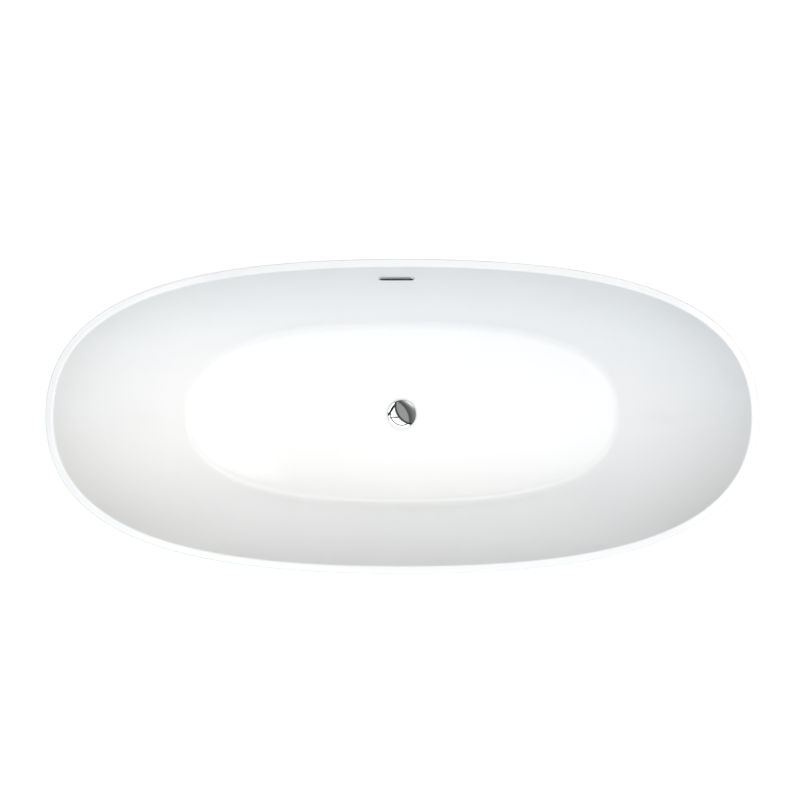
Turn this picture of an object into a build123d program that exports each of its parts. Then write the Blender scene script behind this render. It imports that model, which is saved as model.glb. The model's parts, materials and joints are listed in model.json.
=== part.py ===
from build123d import *
from math import atan, cos, sin, sqrt
import os

# A freestanding double-wall bathtub. Millimetres, +Z up, +X along the length.
# The origin is on the floor under the middle of the tub, and +Y is the side of the overflow.

os.makedirs("parts", exist_ok=True)

# Overall size
tub_length = 1700.0
tub_width = 750.0
tub_height = 580.0
end_fullness = 0.80  # how far the oval stays straight at its ends, as a share of the half width
side_fullness = 0.58  # the same along its sides, as a share of the half length

# Inner shell
rim_width = 19.0
shell_thickness = 6.0
floor_height = 150.0  # from the ground to the top of the tub floor
end_wall_run = 237.0  # how far each end wall slopes inwards, in plan
side_wall_run = 107.0
end_wall_bulge = 26.0  # how far the wall stands out from a straight slope at half height
side_wall_bulge = 10.0
floor_corner_radius = 32.0
rim_inner_radius = 4.0
rim_outer_radius = 3.4
end_cut_outset = 66.0  # past the end of the floor
floor_cut_share = 0.8  # of the corner radius, above the floor

# Outer skirt and the adhesive joint under the rim
skirt_thickness = 5.0
skirt_flange_thickness = 6.0
skirt_flange_width = 12.0
skirt_end_run = 170.0
skirt_side_run = 75.0
skirt_end_bulge = 30.0
skirt_side_bulge = 14.0
skirt_floor_gap = 4.0
bond_thickness = 1.0
bond_setback = 1.5

# Floor board, base ring and steel frame
board_thickness = 15.0
board_inset = 20.0
board_hole_radius = 55.0
ring_width = 18.0
ring_height = 42.0
ring_lift = 4.0  # from the bottom edge of the skirt to the ring
tube_size = 30.0
tube_wall = 2.0
rail_inset = 79.0  # from the edge of the board to the middle of a rail
rail_overhang = 40.0  # past the end feet
end_bar_inset = 164.0  # from the end of the board to the middle of an end bar
mid_bar_x = 140.0

# Frame screws and brackets
screw_radius = 2.5
screw_head_radius = 5.0
screw_head_height = 3.0
screw_clearance = 0.2
screw_bite = 11.0
end_screw_inset = 120.0  # from the middle of an end bar to the outer screws
mid_screw_x = 75.0
bracket_x = 200.0
bracket_width = 30.0
bracket_thickness = 3.0
bracket_drop = 34.0  # how far the bracket runs down its ring
bracket_ring_clearance = 7.0  # above the ring

# Adjustable feet
stud_radius = 6.0
stud_clearance = 0.35
stud_inside_rail = 14.0
stud_chamfer = 1.0
pad_radius = 30.0
pad_neck_radius = 13.0
pad_rim_height = 6.0
pad_height = 14.0
pad_floor = 5.0  # under the end of the stud
nut_flats = 19.0
weld_nut_height = 10.0
lock_nut_height = 8.0

# Waste outlet in the middle of the floor
waste_hole_radius = 27.0
recess_depth = 2.5
recess_clearance = 1.5
flange_radius = 38.0
flange_thickness = 3.0
flange_chamfer = 1.0
flange_lead = 3.0  # funnel at the top of the tail
top_seal_thickness = 1.0
top_seal_setback = 1.0
tail_radius = 25.0
tail_bore_radius = 22.0
tail_length = 44.0
spoke_width = 3.0
spoke_height = 6.0
hub_radius = 12.5
bottom_seal_thickness = 6.0
body_flange_thickness = 4.0
body_radius = 30.0
body_length = 76.0  # from its top to the shoulder above the outlet
body_bore_radius = 23.0
body_floor_thickness = 4.0
tail_gap = 1.0  # under the end of the tail
thread_clearance = 0.3
outlet_thread_radius = 24.0
outlet_thread_length = 10.0
outlet_bore_radius = 18.2
outlet_seal_thickness = 2.0
pipe_flange_thickness = 3.0
pipe_flange_setback = 0.5
pipe_radius = 20.0
pipe_neck_step = 0.4
pipe_neck_length = 7.0
pipe_floor_gap = 10.0
outlet_nut_flats = 58.0
nut_lip_thickness = 5.0
nut_shoulder_gap = 1.0

# Push plug with its click cartridge
cap_radius = 40.0
cap_edge_thickness = 3.0
cap_dome_rise = 3.5
cap_edge_chamfer = 1.0
cap_edge_radius = 1.2
cap_socket_depth = 1.0  # of the stem, above the cap's underside
cap_boss_radius = 7.0
cap_boss_height = 7.0
plug_seal_thickness = 2.0
plug_seal_setback = 4.0
plug_travel = 10.0
cartridge_radius = 9.0
cartridge_bore_radius = 6.6
cartridge_collar_radius = 11.5
cartridge_above_hub = 33.0
cartridge_below_hub = 14.0
cartridge_wall = 3.0
stem_radius = 4.0
stem_head_radius = 6.2
stem_head_height = 7.6
stem_pin_radius = 2.5
washer_width = 1.7
washer_thickness = 1.5
rotor_height = 7.0
notch_count = 6
notch_depth = 1.2
notch_width = 1.6
running_gap = 0.4
spring_wire_radius = 0.6
spring_radius = 5.0
spring_turns = 5
spring_room = 12.0  # height of the spring when the plug is down

# Overflow slot in the back wall, its housing and its pipe
overflow_x = -14.0
overflow_below_rim = 97.0
slot_length = 84.0
slot_height = 19.0
sleeve_wall = 1.2
sleeve_clearance = 0.5
lip_length = 91.0
lip_height = 26.0
lip_thickness = 2.2
lip_edge_radius = 0.9
overflow_seal_thickness = 0.8
overflow_seal_setback = 0.5
gasket_thickness = 2.0
gasket_width = 6.0
housing_length = 104.0
housing_height = 44.0
housing_depth = 13.0
housing_wall = 2.0
housing_corner_radius = 8.0
housing_fit = 0.2  # round the sleeve
funnel_half_length = 30.0
funnel_setback = 0.5
housing_drop = 4.0  # the housing sits this much lower than the slot
spout_radius = 12.0
spout_length = 20.0
overflow_pipe_radius = 10.0
overflow_bore_radius = 8.5
overflow_socket_depth = 12.0
overflow_bend_radius = 45.0
overflow_pipe_clearance = 0.2
small_nut_wall = 1.5
small_nut_lip = 6.0
small_nut_clearance = 1.8  # to the tub and to the skirt
inlet_drop = 58.0  # from the top of the waste body to the middle of its side inlet
inlet_radius = 14.0
inlet_reach = 48.0

# Lengths and heights that follow from the sizes above
floor_half_length = tub_length / 2 - rim_width - end_wall_run
floor_half_width = tub_width / 2 - rim_width - side_wall_run
rail_y = floor_half_width - board_inset - rail_inset
end_bar_x = floor_half_length - board_inset - end_bar_inset
end_screw_x = end_bar_x - end_screw_inset
frame_screw_xs = (-end_screw_x, -mid_screw_x, mid_screw_x, end_screw_x)
shell_underside = floor_height - shell_thickness
skirt_top = tub_height - shell_thickness - bond_thickness
rail_top = shell_underside - board_thickness
rail_bottom = rail_top - tube_size
rail_middle = rail_top - tube_size / 2
ring_bottom = skirt_floor_gap + ring_lift
ring_top = ring_bottom + ring_height
flange_bottom = floor_height - recess_depth + top_seal_thickness
flange_top = flange_bottom + flange_thickness
tail_bottom = flange_bottom - tail_length
hub_top = tail_bottom + spoke_height
body_top = shell_underside - bottom_seal_thickness
body_bottom = body_top - body_length
outlet_end = body_bottom - outlet_thread_length
pipe_top = outlet_end - outlet_seal_thickness
pipe_flange_bottom = pipe_top - pipe_flange_thickness
outlet_nut_bottom = pipe_flange_bottom - nut_lip_thickness
inlet_height = body_top - inlet_drop
cap_bottom = flange_top + plug_seal_thickness
cartridge_bottom = tail_bottom - cartridge_below_hub
cartridge_top = hub_top + cartridge_above_hub
spring_bottom = cartridge_bottom + cartridge_wall
pin_end = spring_bottom + spring_room
washer_top = pin_end + washer_thickness
rotor_bottom = washer_top + running_gap
rotor_top = rotor_bottom + rotor_height
stem_head_bottom = rotor_top + running_gap
stem_head_top = stem_head_bottom + stem_head_height


def oval(half_length, half_width):
    """The tub's outline, made from one quarter and its mirror images."""
    with BuildSketch() as outline:
        with BuildLine():
            Bezier(
                (half_length, 0),
                (half_length, end_fullness * half_width),
                (side_fullness * half_length, half_width),
                (0, half_width),
            )
            mirror(about=Plane.YZ)
            mirror(about=Plane.XZ)
        make_face()
    return outline.sketch


def oval_y(half_length, half_width, x):
    """Half width of the same outline at a distance x from the middle."""
    low, high = 0.0, 1.0
    for _ in range(50):
        s = (low + high) / 2
        r = 1 - s
        reach = half_length * (r**3 + 3 * r**2 * s + 3 * r * s**2 * side_fullness)
        if reach > abs(x):
            low = s
        else:
            high = s
    return half_width * (3 * r**2 * s * end_fullness + 3 * r * s**2 + s**3)


def bowed(start, run, bulge, share):
    """A half size that grows by run from share 0 to share 1, and how fast it grows."""
    size = start + run * share + 4 * bulge * share * (1 - share)
    growth = run + 4 * bulge * (1 - 2 * share)
    return size, growth


def tub_inside(z):
    """Half length, half width and their slopes for the inside of the tub at height z."""
    depth = tub_height - floor_height
    share = (z - floor_height) / depth
    a, grow_a = bowed(floor_half_length, end_wall_run, end_wall_bulge, share)
    b, grow_b = bowed(floor_half_width, side_wall_run, side_wall_bulge, share)
    return a, b, grow_a / depth, grow_b / depth


def tub_outside(z):
    """Half length and half width of the inner shell's outer face at height z."""
    a, b, slope_a, slope_b = tub_inside(z)
    return a + shell_thickness * sqrt(1 + slope_a**2), b + shell_thickness * sqrt(1 + slope_b**2)


def skirt_half_sizes(z, inset):
    """Half length and half width of the skirt at height z, inset from its outer face."""
    tall = skirt_top - skirt_floor_gap
    share = (z - skirt_floor_gap) / tall
    base_a = tub_length / 2 - skirt_end_run
    base_b = tub_width / 2 - skirt_side_run
    a, grow_a = bowed(base_a, skirt_end_run, skirt_end_bulge, share)
    b, grow_b = bowed(base_b, skirt_side_run, skirt_side_bulge, share)
    return a - inset * sqrt(1 + (grow_a / tall) ** 2), b - inset * sqrt(1 + (grow_b / tall) ** 2)


# Inner tub

tub_middle = (floor_height + tub_height) / 2

with BuildPart() as bathing_space:
    for z in (floor_height, tub_middle, tub_height):
        with BuildSketch(Plane.XY.offset(z)):
            add(oval(*tub_inside(z)[:2]))
    loft()
    fillet(bathing_space.faces().sort_by(Axis.Z)[0].edges(), floor_corner_radius)

with BuildPart() as tub_shell:
    for z in (shell_underside, tub_middle, tub_height - shell_thickness):
        with BuildSketch(Plane.XY.offset(z)):
            add(oval(*tub_outside(z)))
    loft()
    fillet(tub_shell.faces().sort_by(Axis.Z)[0].edges(), floor_corner_radius + shell_thickness)
    with BuildSketch(Plane.XY.offset(tub_height - shell_thickness)):
        add(oval(tub_length / 2, tub_width / 2))
    extrude(amount=shell_thickness)
    add(bathing_space.part, mode=Mode.SUBTRACT)
    fillet(tub_shell.faces().sort_by(Axis.Z)[-1].outer_wire().edges(), rim_outer_radius)
    fillet(tub_shell.faces().sort_by(Axis.Z)[-1].inner_wires()[0].edges(), rim_inner_radius)

# The overflow parts are drawn on a plane that lies against the back wall at the slot.
# Its local y runs up the wall and its local z points into the tub.

overflow_z = tub_height - overflow_below_rim
overflow_wall = tub_inside(overflow_z)
overflow_y = overflow_wall[1]
wall_lean = atan(overflow_wall[3])
overflow_plane = Plane(
    origin=(overflow_x, overflow_y, overflow_z),
    x_dir=(1, 0, 0),
    z_dir=(0, -cos(wall_lean), sin(wall_lean)),
)
sleeve_length = slot_length + 2 * sleeve_wall
sleeve_height = slot_height + 2 * sleeve_wall
hole_length = sleeve_length + 2 * sleeve_clearance
hole_height = sleeve_height + 2 * sleeve_clearance

with BuildPart() as tub_moulding:
    add(tub_shell.part)
    with BuildSketch(Plane.XY.offset(floor_height)):
        Circle(flange_radius + recess_clearance)
    extrude(amount=-recess_depth, mode=Mode.SUBTRACT)
    with BuildSketch(Plane.XY.offset(floor_height)):
        Circle(waste_hole_radius)
    extrude(amount=-2 * shell_thickness, mode=Mode.SUBTRACT)
    with BuildSketch(overflow_plane.offset(shell_thickness)):
        SlotOverall(hole_length, hole_height)
    extrude(amount=-4 * shell_thickness, mode=Mode.SUBTRACT)

# The tub is one moulding, and so is the skirt. Each is drawn as solids that meet face to face,
# cut along the middle and across it, and the tub above its floor too, so that none is a deep hollow.
# The back panel of each is cut again level with the overflow slot and at the ends of its straight edges.

end_cut_x = floor_half_length + end_cut_outset
mid_cut_x = end_cut_x / 2
floor_cut_z = floor_height + floor_corner_radius * floor_cut_share
upright_cuts = [Plane.XZ] + [Plane.YZ.offset(x) for x in (-end_cut_x, -mid_cut_x, mid_cut_x, end_cut_x)]
slot_straight_half = (hole_length - hole_height) / 2
slot_cuts = [
    Plane.XY.offset(overflow_z),
    Plane.YZ.offset(overflow_x - slot_straight_half),
    Plane.YZ.offset(overflow_x + slot_straight_half),
]


def cut_at_slot(panels, cuts):
    """The solids of a moulding, with the one nearest to the overflow slot cut again."""
    back_panel, *other_panels = panels.sort_by_distance(overflow_plane.origin)
    with BuildPart() as slot_panel:
        add(back_panel)
        for cut in cuts:
            split(bisect_by=cut, keep=Keep.BOTH)
    return other_panels + slot_panel.solids()


with BuildPart() as tub_panels:
    add(tub_moulding.part)
    for cut in upright_cuts + [Plane.XY.offset(floor_cut_z)]:
        split(bisect_by=cut, keep=Keep.BOTH)

with BuildPart() as inner_tub:
    add(cut_at_slot(tub_panels.solids(), slot_cuts), mode=Mode.REPLACE)

inner_tub.part.label = "inner_tub"
export_step(inner_tub.part, "parts/inner_tub.step")

# Outer skirt. The space inside it is drawn first, so that the base ring can share its face.

skirt_middle = (skirt_floor_gap + skirt_top) / 2

with BuildPart() as skirt_space:
    for z in (skirt_floor_gap, skirt_middle, skirt_top - skirt_flange_thickness):
        with BuildSketch(Plane.XY.offset(z)):
            add(oval(*skirt_half_sizes(z, skirt_thickness)))
    loft()

with BuildPart() as skirt_panels:
    for z in (skirt_floor_gap, skirt_middle, skirt_top):
        with BuildSketch(Plane.XY.offset(z)):
            add(oval(*skirt_half_sizes(z, 0)))
    loft()
    add(skirt_space.part, mode=Mode.SUBTRACT)
    with BuildSketch(Plane.XY.offset(skirt_top)):
        add(oval(tub_length / 2 - skirt_flange_width, tub_width / 2 - skirt_flange_width))
    extrude(amount=-2 * skirt_flange_thickness, mode=Mode.SUBTRACT)
    for cut in upright_cuts:
        split(bisect_by=cut, keep=Keep.BOTH)

with BuildPart() as outer_skirt:
    add(cut_at_slot(skirt_panels.solids(), slot_cuts), mode=Mode.REPLACE)

outer_skirt.part.label = "outer_skirt"
export_step(outer_skirt.part, "parts/outer_skirt.step")

# Adhesive between the rim and the skirt

with BuildPart() as rim_bond:
    with BuildSketch(Plane.XY.offset(skirt_top)):
        add(oval(tub_length / 2 - bond_setback, tub_width / 2 - bond_setback))
        add(
            oval(tub_length / 2 - skirt_flange_width, tub_width / 2 - skirt_flange_width),
            mode=Mode.SUBTRACT,
        )
    extrude(amount=bond_thickness)

rim_bond.part.label = "rim_bond"
export_step(rim_bond.part, "parts/rim_bond.step")

# Board under the tub floor

with BuildPart() as base_board:
    with BuildSketch(Plane.XY.offset(rail_top)):
        add(oval(floor_half_length - board_inset, floor_half_width - board_inset))
        Circle(board_hole_radius, mode=Mode.SUBTRACT)
    extrude(amount=board_thickness)
    with BuildSketch(Plane.XY.offset(rail_top)):
        with Locations(*[(x, y) for x in frame_screw_xs for y in (-rail_y, rail_y)]):
            Circle(screw_radius)
    extrude(amount=screw_bite, mode=Mode.SUBTRACT)

base_board.part.label = "base_board"
export_step(base_board.part, "parts/base_board.step")

# Base ring inside the bottom of the skirt

ring_a, ring_b = skirt_half_sizes(ring_bottom, skirt_thickness + ring_width)
bracket_reach = oval_y(ring_a, ring_b, bracket_x)
bracket_leg = ring_top + bracket_ring_clearance
ring_screw_height = ring_bottom + ring_height / 2
bracket_spots = [
    ("front_left", -1, -1),
    ("front_right", 1, -1),
    ("back_left", -1, 1),
    ("back_right", 1, 1),
]

with BuildPart() as base_ring:
    add(skirt_space.part)
    with BuildSketch(Plane.XY.offset(ring_bottom)):
        Rectangle(tub_length, tub_width)
    extrude(amount=ring_height, mode=Mode.INTERSECT)
    with BuildSketch(Plane.XY.offset(ring_bottom)):
        add(oval(ring_a, ring_b))
    extrude(amount=ring_height, mode=Mode.SUBTRACT)
    for spot, x_sign, y_sign in bracket_spots:
        with BuildSketch(Plane.XZ.offset(-y_sign * bracket_reach)):
            with Locations((x_sign * bracket_x, ring_screw_height)):
                Circle(screw_radius)
        extrude(amount=-y_sign * screw_bite, both=True, mode=Mode.SUBTRACT)

base_ring.part.label = "base_ring"
export_step(base_ring.part, "parts/base_ring.step")

# Frame rails along the tub

rail_half = end_bar_x + rail_overhang

for side, y_sign in (("front", -1), ("back", 1)):
    with BuildPart() as rail:
        with BuildSketch(Plane.YZ.offset(-rail_half)):
            with Locations((y_sign * rail_y, rail_middle)):
                Rectangle(tube_size, tube_size)
                Rectangle(tube_size - 2 * tube_wall, tube_size - 2 * tube_wall, mode=Mode.SUBTRACT)
        extrude(amount=2 * rail_half)
        with BuildSketch(Plane.XY.offset(rail_bottom)):
            with Locations((-end_bar_x, y_sign * rail_y), (end_bar_x, y_sign * rail_y)):
                Circle(stud_radius + stud_clearance)
        extrude(amount=tube_wall, mode=Mode.SUBTRACT)
        with BuildSketch(Plane.XY.offset(rail_bottom)):
            with Locations(*[(x, y_sign * rail_y) for x in frame_screw_xs]):
                Circle(screw_radius + screw_clearance)
        extrude(amount=tube_size, mode=Mode.SUBTRACT)
        with BuildSketch(Plane.XZ.offset(-y_sign * rail_y)):
            with Locations((-bracket_x, rail_middle), (bracket_x, rail_middle)):
                Circle(screw_radius)
        extrude(amount=-y_sign * tube_size, mode=Mode.SUBTRACT)
    rail.part.label = "frame_rail_" + side
    export_step(rail.part, "parts/frame_rail_" + side + ".step")

# Cross bars between the rails

bar_length = 2 * rail_y - tube_size
bar_spots = [
    ("left_end", -end_bar_x, False),
    ("left_mid", -mid_bar_x, True),
    ("right_mid", mid_bar_x, True),
    ("right_end", end_bar_x, False),
]

for spot, x, has_foot in bar_spots:
    with BuildPart() as bar:
        with BuildSketch(Plane.XZ.offset(-bar_length / 2)):
            with Locations((x, rail_middle)):
                Rectangle(tube_size, tube_size)
                Rectangle(tube_size - 2 * tube_wall, tube_size - 2 * tube_wall, mode=Mode.SUBTRACT)
        extrude(amount=bar_length)
        if has_foot:
            with BuildSketch(Plane.XY.offset(rail_bottom)):
                with Locations((x, 0)):
                    Circle(stud_radius + stud_clearance)
            extrude(amount=tube_wall, mode=Mode.SUBTRACT)
    bar.part.label = "cross_bar_" + spot
    export_step(bar.part, "parts/cross_bar_" + spot + ".step")

# Screws from the rails up into the board

with BuildPart() as frame_screws:
    with BuildSketch(Plane.XY.offset(rail_bottom)):
        with Locations(*[(x, y) for x in frame_screw_xs for y in (-rail_y, rail_y)]):
            Circle(screw_radius)
    extrude(amount=tube_size + screw_bite)
    with BuildSketch(Plane.XY.offset(rail_bottom)):
        with Locations(*[(x, y) for x in frame_screw_xs for y in (-rail_y, rail_y)]):
            Circle(screw_head_radius)
    extrude(amount=-screw_head_height)

frame_screws.part.label = "frame_screws"
export_step(frame_screws.part, "parts/frame_screws.step")

# Brackets from the rails to the base ring. Each is cut to the curve of the ring.

rail_face = rail_y + tube_size / 2
bracket_face = bracket_reach - bracket_thickness

for spot, x_sign, y_sign in bracket_spots:
    with BuildPart() as bracket:
        with BuildSketch(Plane.YZ.offset(x_sign * bracket_x - bracket_width / 2)):
            with BuildLine():
                Polyline(
                    (y_sign * rail_face, rail_top - tube_wall),
                    (y_sign * (rail_face + bracket_thickness), rail_top - tube_wall),
                    (y_sign * (rail_face + bracket_thickness), bracket_leg + bracket_thickness),
                    (y_sign * (bracket_reach + bracket_thickness), bracket_leg + bracket_thickness),
                    (y_sign * (bracket_reach + bracket_thickness), ring_top - bracket_drop),
                    (y_sign * bracket_face, ring_top - bracket_drop),
                    (y_sign * bracket_face, bracket_leg),
                    (y_sign * rail_face, bracket_leg),
                    close=True,
                )
            make_face()
        extrude(amount=bracket_width)
        with BuildSketch(Plane.XY.offset(ring_bottom)):
            add(oval(ring_a, ring_b))
        extrude(amount=rail_top, mode=Mode.INTERSECT)
        with BuildSketch(Plane.XZ.offset(-y_sign * rail_y)):
            with Locations((x_sign * bracket_x, rail_middle)):
                Circle(screw_radius + screw_clearance)
        extrude(amount=-y_sign * tube_size, mode=Mode.SUBTRACT)
        with BuildSketch(Plane.XZ.offset(-y_sign * bracket_reach)):
            with Locations((x_sign * bracket_x, ring_screw_height)):
                Circle(screw_radius + screw_clearance)
        extrude(amount=2 * bracket_thickness, both=True, mode=Mode.SUBTRACT)
    bracket.part.label = "bracket_" + spot
    export_step(bracket.part, "parts/bracket_" + spot + ".step")

with BuildPart() as bracket_screws:
    for spot, x_sign, y_sign in bracket_spots:
        rail_head = y_sign * (rail_face + bracket_thickness)
        with BuildSketch(Plane.XZ.offset(-rail_head)):
            with Locations((x_sign * bracket_x, rail_middle)):
                Circle(screw_radius)
        extrude(amount=y_sign * (screw_bite + bracket_thickness))
        with BuildSketch(Plane.XZ.offset(-rail_head)):
            with Locations((x_sign * bracket_x, rail_middle)):
                Circle(screw_head_radius)
        extrude(amount=-y_sign * screw_head_height)
        ring_head = y_sign * bracket_face
        with BuildSketch(Plane.XZ.offset(-ring_head)):
            with Locations((x_sign * bracket_x, ring_screw_height)):
                Circle(screw_radius)
        extrude(amount=-y_sign * (screw_bite + bracket_thickness))
        with BuildSketch(Plane.XZ.offset(-ring_head)):
            with Locations((x_sign * bracket_x, ring_screw_height)):
                Circle(screw_head_radius)
        extrude(amount=y_sign * screw_head_height)

bracket_screws.part.label = "bracket_screws"
export_step(bracket_screws.part, "parts/bracket_screws.step")

# Adjustable feet with their nuts

foot_spots = [
    ("front_left", -end_bar_x, -rail_y),
    ("front_right", end_bar_x, -rail_y),
    ("back_left", -end_bar_x, rail_y),
    ("back_right", end_bar_x, rail_y),
    ("mid_left", -mid_bar_x, 0),
    ("mid_right", mid_bar_x, 0),
]
foot_points = [(x, y) for spot, x, y in foot_spots]
lock_nut_top = rail_bottom - weld_nut_height

with BuildPart() as weld_nuts:
    with BuildSketch(Plane.XY.offset(rail_bottom)):
        with Locations(*foot_points):
            RegularPolygon(nut_flats / 2, 6, major_radius=False)
            Circle(stud_radius + stud_clearance, mode=Mode.SUBTRACT)
    extrude(amount=-weld_nut_height)

weld_nuts.part.label = "weld_nuts"
export_step(weld_nuts.part, "parts/weld_nuts.step")

with BuildPart() as lock_nuts:
    with BuildSketch(Plane.XY.offset(lock_nut_top)):
        with Locations(*foot_points):
            RegularPolygon(nut_flats / 2, 6, major_radius=False, rotation=15)
            Circle(stud_radius + stud_clearance, mode=Mode.SUBTRACT)
    extrude(amount=-lock_nut_height)

lock_nuts.part.label = "lock_nuts"
export_step(lock_nuts.part, "parts/lock_nuts.step")

for spot, x, y in foot_spots:
    foot_axis = Axis((x, y, 0), (0, 0, 1))
    foot_plane = Plane(origin=(x, y, 0), x_dir=(1, 0, 0), z_dir=(0, -1, 0))
    stud_top = rail_bottom + stud_inside_rail
    with BuildPart() as foot_stud:
        with BuildSketch(foot_plane):
            with BuildLine():
                Polyline(
                    (0, pad_floor),
                    (stud_radius, pad_floor),
                    (stud_radius, stud_top - stud_chamfer),
                    (stud_radius - stud_chamfer, stud_top),
                    (0, stud_top),
                    close=True,
                )
            make_face()
        revolve(axis=foot_axis)
    foot_stud.part.label = "foot_stud_" + spot
    export_step(foot_stud.part, "parts/foot_stud_" + spot + ".step")
    with BuildPart() as foot_pad:
        with BuildSketch(foot_plane):
            with BuildLine():
                Polyline(
                    (0, 0),
                    (pad_radius, 0),
                    (pad_radius, pad_rim_height),
                    (pad_neck_radius, pad_height),
                    (stud_radius, pad_height),
                    (stud_radius, pad_floor),
                    (0, pad_floor),
                    close=True,
                )
            make_face()
        revolve(axis=foot_axis)
    foot_pad.part.label = "foot_pad_" + spot
    export_step(foot_pad.part, "parts/foot_pad_" + spot + ".step")

# Waste flange with its threaded tail and the spokes that carry the cartridge

with BuildPart() as waste_flange:
    with BuildSketch(Plane.XZ):
        with BuildLine():
            Polyline(
                (tail_bore_radius, tail_bottom),
                (tail_radius, tail_bottom),
                (tail_radius, flange_bottom),
                (flange_radius, flange_bottom),
                (flange_radius, flange_top - flange_chamfer),
                (flange_radius - flange_chamfer, flange_top),
                (tail_bore_radius + flange_lead, flange_top),
                (tail_bore_radius, flange_top - flange_lead),
                close=True,
            )
        make_face()
    revolve(axis=Axis.Z)
    with BuildSketch(Plane.XY.offset(tail_bottom)):
        Rectangle(tail_bore_radius + tail_radius, spoke_width)
        Rectangle(spoke_width, tail_bore_radius + tail_radius)
        Circle(hub_radius)
    extrude(amount=spoke_height)
    with BuildSketch(Plane.XY.offset(tail_bottom)):
        Circle(cartridge_radius)
    extrude(amount=spoke_height, mode=Mode.SUBTRACT)

waste_flange.part.label = "waste_flange"
export_step(waste_flange.part, "parts/waste_flange.step")

# Seals above and below the tub floor

with BuildPart() as waste_top_seal:
    with BuildSketch(Plane.XY.offset(flange_bottom)):
        Circle(flange_radius - top_seal_setback)
        Circle(waste_hole_radius, mode=Mode.SUBTRACT)
    extrude(amount=-top_seal_thickness)

waste_top_seal.part.label = "waste_top_seal"
export_step(waste_top_seal.part, "parts/waste_top_seal.step")

with BuildPart() as waste_bottom_seal:
    with BuildSketch(Plane.XY.offset(shell_underside)):
        Circle(flange_radius)
        Circle(tail_radius + thread_clearance, mode=Mode.SUBTRACT)
    extrude(amount=-bottom_seal_thickness)

waste_bottom_seal.part.label = "waste_bottom_seal"
export_step(waste_bottom_seal.part, "parts/waste_bottom_seal.step")

# Waste body with its outlet below and the overflow inlet at its back

inlet_plane = Plane(origin=(0, 0, inlet_height), x_dir=(-1, 0, 0), z_dir=(0, 1, 0))
inlet_root = (body_bore_radius + body_radius) / 2
body_floor = body_bottom + body_floor_thickness
tail_seat = tail_bottom - tail_gap

with BuildPart() as waste_body:
    with BuildSketch(Plane.XZ):
        with BuildLine():
            Polyline(
                (tail_radius + thread_clearance, body_top),
                (flange_radius, body_top),
                (flange_radius, body_top - body_flange_thickness),
                (body_radius, body_top - body_flange_thickness),
                (body_radius, body_bottom),
                (outlet_thread_radius, body_bottom),
                (outlet_thread_radius, outlet_end),
                (outlet_bore_radius, outlet_end),
                (outlet_bore_radius, body_floor),
                (body_bore_radius, body_floor),
                (body_bore_radius, tail_seat),
                (tail_radius + thread_clearance, tail_seat),
                close=True,
            )
        make_face()
    revolve(axis=Axis.Z)
    with BuildSketch(inlet_plane.offset(inlet_root)):
        Circle(inlet_radius)
    extrude(amount=inlet_reach - inlet_root)
    with BuildSketch(inlet_plane.offset(body_bore_radius / 2)):
        Circle(overflow_bore_radius)
    extrude(amount=inlet_reach, mode=Mode.SUBTRACT)
    with BuildSketch(inlet_plane.offset(inlet_reach)):
        Circle(overflow_pipe_radius + overflow_pipe_clearance)
    extrude(amount=-overflow_socket_depth, mode=Mode.SUBTRACT)

waste_body.part.label = "waste_body"
export_step(waste_body.part, "parts/waste_body.step")

# Outlet pipe, hung from the waste body by its nut

pipe_flange_radius = outlet_thread_radius - pipe_flange_setback

with BuildPart() as outlet_seal:
    with BuildSketch(Plane.XY.offset(outlet_end)):
        Circle(pipe_flange_radius)
        Circle(outlet_bore_radius, mode=Mode.SUBTRACT)
    extrude(amount=-outlet_seal_thickness)

outlet_seal.part.label = "outlet_seal"
export_step(outlet_seal.part, "parts/outlet_seal.step")

pipe_neck_radius = pipe_radius + pipe_neck_step
pipe_neck_bottom = pipe_flange_bottom - pipe_neck_length

with BuildPart() as tail_pipe:
    with BuildSketch(Plane.XZ):
        with BuildLine():
            Polyline(
                (outlet_bore_radius, pipe_floor_gap),
                (pipe_radius, pipe_floor_gap),
                (pipe_radius, pipe_neck_bottom),
                (pipe_neck_radius, pipe_neck_bottom),
                (pipe_neck_radius, pipe_flange_bottom),
                (pipe_flange_radius, pipe_flange_bottom),
                (pipe_flange_radius, pipe_top),
                (outlet_bore_radius, pipe_top),
                close=True,
            )
        make_face()
    revolve(axis=Axis.Z)

tail_pipe.part.label = "tail_pipe"
export_step(tail_pipe.part, "parts/tail_pipe.step")

with BuildPart() as outlet_nut:
    with BuildSketch(Plane.XY.offset(outlet_nut_bottom)):
        RegularPolygon(outlet_nut_flats / 2, 6, major_radius=False)
        Circle(pipe_neck_radius + thread_clearance, mode=Mode.SUBTRACT)
    extrude(amount=body_bottom - nut_shoulder_gap - outlet_nut_bottom)
    with BuildSketch(Plane.XY.offset(pipe_flange_bottom)):
        Circle(outlet_thread_radius + thread_clearance)
    extrude(amount=body_bottom - pipe_flange_bottom, mode=Mode.SUBTRACT)

outlet_nut.part.label = "outlet_nut"
export_step(outlet_nut.part, "parts/outlet_nut.step")

# Plug cap with a low dome, its seal and its stem

cap_edge_top = cap_bottom + cap_edge_thickness
cap_top = cap_edge_top + cap_dome_rise
dome_radius = (cap_radius**2 + cap_dome_rise**2) / (2 * cap_dome_rise)
dome_shoulder = cap_top - dome_radius + sqrt(dome_radius**2 - (cap_radius / 2) ** 2)
boss_bottom = cap_bottom - cap_boss_height
stem_top = cap_bottom + cap_socket_depth

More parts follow.
